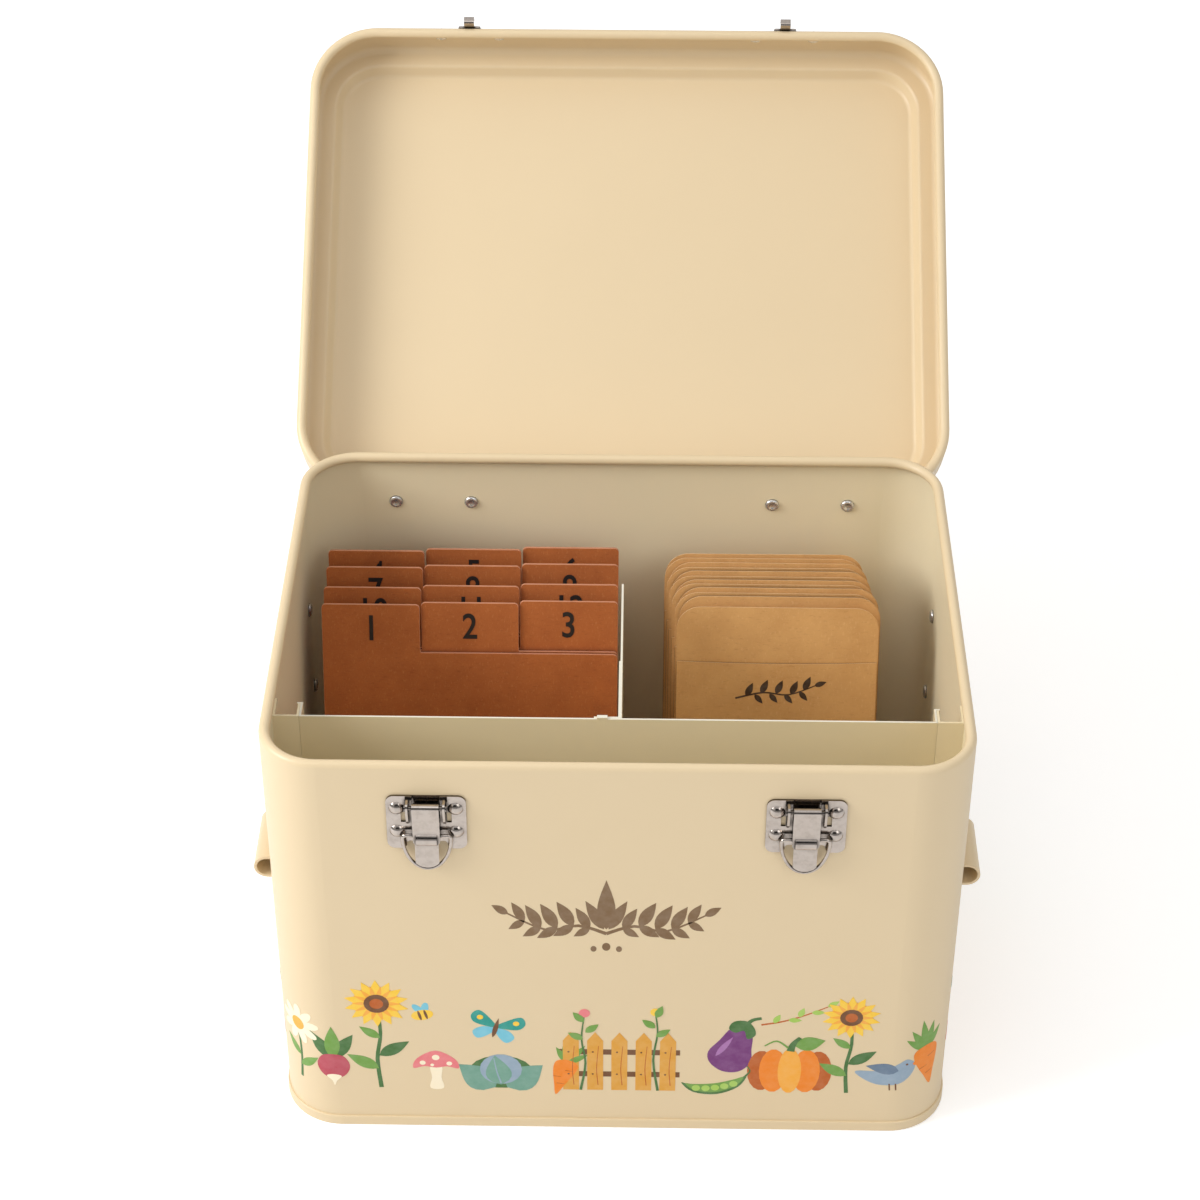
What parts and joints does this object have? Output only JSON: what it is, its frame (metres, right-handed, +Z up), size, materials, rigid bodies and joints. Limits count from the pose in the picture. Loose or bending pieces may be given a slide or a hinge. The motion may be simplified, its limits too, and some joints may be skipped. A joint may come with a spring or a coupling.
{
  "type": "garden seed organizer box",
  "caption": "Cream sheet-steel seed box with a hinged lid, toggle latches, strap loops, lift-out dividers, tabbed month cards and kraft envelopes.",
  "frame": {"origin": "centre of the box's base, on the surface that it stands on", "axes": "+X to the right across the front, +Y to the rear, +Z up"},
  "size_m": [0.3194, 0.4409, 0.3448],
  "materials": {
    "cream_paint": "satin cream paint",
    "divider_paint": "satin cream paint",
    "nickel": "polished nickel plate",
    "hinge_steel": "plated steel",
    "rivet_steel": "plated steel",
    "card_board": "dense brown board",
    "kraft_paper": "kraft paper"
  },
  "bodies": {
    "box": {"body_shell": "cream_paint", "bottom_pan": "cream_paint", "divider_guide_left": "divider_paint", "divider_guide_right": "divider_paint", "hinge_body_leaf_left": "hinge_steel", "hinge_body_leaf_right": "hinge_steel", "hinge_pin_left": "hinge_steel", "hinge_pin_right": "hinge_steel", "hinge_rivets_body": "hinge_steel", "latch_base_left": "nickel", "latch_base_right": "nickel", "latch_pin_left": "nickel", "latch_pin_right": "nickel", "latch_rivets_left": "nickel", "latch_rivets_right": "nickel", "loop_rivets_left": "rivet_steel", "loop_rivets_right": "rivet_steel", "strap_loop_front_left": "cream_paint", "strap_loop_front_right": "cream_paint", "strap_loop_rear_left": "cream_paint", "strap_loop_rear_right": "cream_paint"},
    "lid": {"lid_shell": "cream_paint", "hinge_lid_leaf_left": "hinge_steel", "hinge_lid_leaf_right": "hinge_steel", "hinge_rivets_lid": "hinge_steel", "keeper_left": "nickel", "keeper_right": "nickel", "keeper_rivets": "nickel"},
    "lever_left": {"latch_lever_left": "nickel"},
    "bail_left": {"latch_bail_left": "nickel"},
    "lever_right": {"latch_lever_right": "nickel"},
    "bail_right": {"latch_bail_right": "nickel"},
    "cross": {"cross_divider": "divider_paint"},
    "centre": {"centre_divider": "divider_paint"},
    "card_01": {"month_card_01": "card_board"},
    "card_02": {"month_card_02": "card_board"},
    "card_03": {"month_card_03": "card_board"},
    "card_04": {"month_card_04": "card_board"},
    "card_05": {"month_card_05": "card_board"},
    "card_06": {"month_card_06": "card_board"},
    "card_07": {"month_card_07": "card_board"},
    "card_08": {"month_card_08": "card_board"},
    "card_09": {"month_card_09": "card_board"},
    "card_10": {"month_card_10": "card_board"},
    "card_11": {"month_card_11": "card_board"},
    "card_12": {"month_card_12": "card_board"},
    "env_01": {"envelope_01": "kraft_paper"},
    "env_02": {"envelope_02": "kraft_paper"},
    "env_03": {"envelope_03": "kraft_paper"},
    "env_04": {"envelope_04": "kraft_paper"},
    "env_05": {"envelope_05": "kraft_paper"},
    "env_06": {"envelope_06": "kraft_paper"},
    "env_07": {"envelope_07": "kraft_paper"},
    "env_08": {"envelope_08": "kraft_paper"},
    "env_09": {"envelope_09": "kraft_paper"},
    "env_10": {"envelope_10": "kraft_paper"},
    "env_11": {"envelope_11": "kraft_paper"},
    "env_12": {"envelope_12": "kraft_paper"}
  },
  "joints": [
    {"name": "lid_hinge", "type": "hinge", "parent": "box", "child": "lid", "pos_m": [0, 0.1175, 0.1955], "axis": [-1, 0, 0], "range_deg": [-142, 0]},
    {"name": "lever_left_hinge", "type": "hinge", "parent": "box", "child": "lever_left", "pos_m": [-0.079, -0.1182, 0.1953], "axis": [-1, 0, 0], "range_deg": [0, 90]},
    {"name": "bail_left_hinge", "type": "hinge", "parent": "lever_left", "child": "bail_left", "pos_m": [-0.079, -0.1174, 0.1795], "axis": [-1, 0, 0], "range_deg": [0, 165]},
    {"name": "lever_right_hinge", "type": "hinge", "parent": "box", "child": "lever_right", "pos_m": [0.079, -0.1182, 0.1953], "axis": [-1, 0, 0], "range_deg": [0, 90]},
    {"name": "bail_right_hinge", "type": "hinge", "parent": "lever_right", "child": "bail_right", "pos_m": [0.079, -0.1174, 0.1795], "axis": [-1, 0, 0], "range_deg": [0, 165]},
    {"name": "cross_divider_lift", "type": "slide", "parent": "box", "child": "cross", "axis": [0, 0, 1], "range_m": [0, 0.215]},
    {"name": "centre_divider_lift", "type": "slide", "parent": "cross", "child": "centre", "axis": [0, 0, 1], "range_m": [0, 0.215]},
    {"name": "card_01_lift", "type": "slide", "parent": "box", "child": "card_01", "axis": [0, 0.2756, 0.9613], "range_m": [0, 0.22]},
    {"name": "card_02_lift", "type": "slide", "parent": "box", "child": "card_02", "axis": [0, 0.2756, 0.9613], "range_m": [0, 0.22]},
    {"name": "card_03_lift", "type": "slide", "parent": "box", "child": "card_03", "axis": [0, 0.2756, 0.9613], "range_m": [0, 0.22]},
    {"name": "card_04_lift", "type": "slide", "parent": "box", "child": "card_04", "axis": [0, 0.2521, 0.9677], "range_m": [0, 0.22]},
    {"name": "card_05_lift", "type": "slide", "parent": "box", "child": "card_05", "axis": [0, 0.2521, 0.9677], "range_m": [0, 0.22]},
    {"name": "card_06_lift", "type": "slide", "parent": "box", "child": "card_06", "axis": [0, 0.2521, 0.9677], "range_m": [0, 0.22]},
    {"name": "card_07_lift", "type": "slide", "parent": "box", "child": "card_07", "axis": [0, 0.2233, 0.9748], "range_m": [0, 0.22]},
    {"name": "card_08_lift", "type": "slide", "parent": "box", "child": "card_08", "axis": [0, 0.2233, 0.9748], "range_m": [0, 0.22]},
    {"name": "card_09_lift", "type": "slide", "parent": "box", "child": "card_09", "axis": [0, 0.2233, 0.9748], "range_m": [0, 0.22]},
    {"name": "card_10_lift", "type": "slide", "parent": "box", "child": "card_10", "axis": [0, 0.1994, 0.9799], "range_m": [0, 0.22]},
    {"name": "card_11_lift", "type": "slide", "parent": "box", "child": "card_11", "axis": [0, 0.1994, 0.9799], "range_m": [0, 0.22]},
    {"name": "card_12_lift", "type": "slide", "parent": "box", "child": "card_12", "axis": [0, 0.1994, 0.9799], "range_m": [0, 0.22]},
    {"name": "env_01_lift", "type": "slide", "parent": "box", "child": "env_01", "axis": [0, 0.2924, 0.9563], "range_m": [0, 0.22]},
    {"name": "env_02_lift", "type": "slide", "parent": "box", "child": "env_02", "axis": [0, 0.2878, 0.9577], "range_m": [0, 0.22]},
    {"name": "env_03_lift", "type": "slide", "parent": "box", "child": "env_03", "axis": [0, 0.2833, 0.959], "range_m": [0, 0.22]},
    {"name": "env_04_lift", "type": "slide", "parent": "box", "child": "env_04", "axis": [0, 0.2787, 0.9604], "range_m": [0, 0.22]},
    {"name": "env_05_lift", "type": "slide", "parent": "box", "child": "env_05", "axis": [0, 0.2741, 0.9617], "range_m": [0, 0.22]},
    {"name": "env_06_lift", "type": "slide", "parent": "box", "child": "env_06", "axis": [0, 0.2695, 0.963], "range_m": [0, 0.22]},
    {"name": "env_07_lift", "type": "slide", "parent": "box", "child": "env_07", "axis": [0, 0.2649, 0.9643], "range_m": [0, 0.22]},
    {"name": "env_08_lift", "type": "slide", "parent": "box", "child": "env_08", "axis": [0, 0.2604, 0.9655], "range_m": [0, 0.22]},
    {"name": "env_09_lift", "type": "slide", "parent": "box", "child": "env_09", "axis": [0, 0.2558, 0.9667], "range_m": [0, 0.22]},
    {"name": "env_10_lift", "type": "slide", "parent": "box", "child": "env_10", "axis": [0, 0.2511, 0.9679], "range_m": [0, 0.22]},
    {"name": "env_11_lift", "type": "slide", "parent": "box", "child": "env_11", "axis": [0, 0.2465, 0.9691], "range_m": [0, 0.22]},
    {"name": "env_12_lift", "type": "slide", "parent": "box", "child": "env_12", "axis": [0, 0.2419, 0.9703], "range_m": [0, 0.22]}
  ]
}
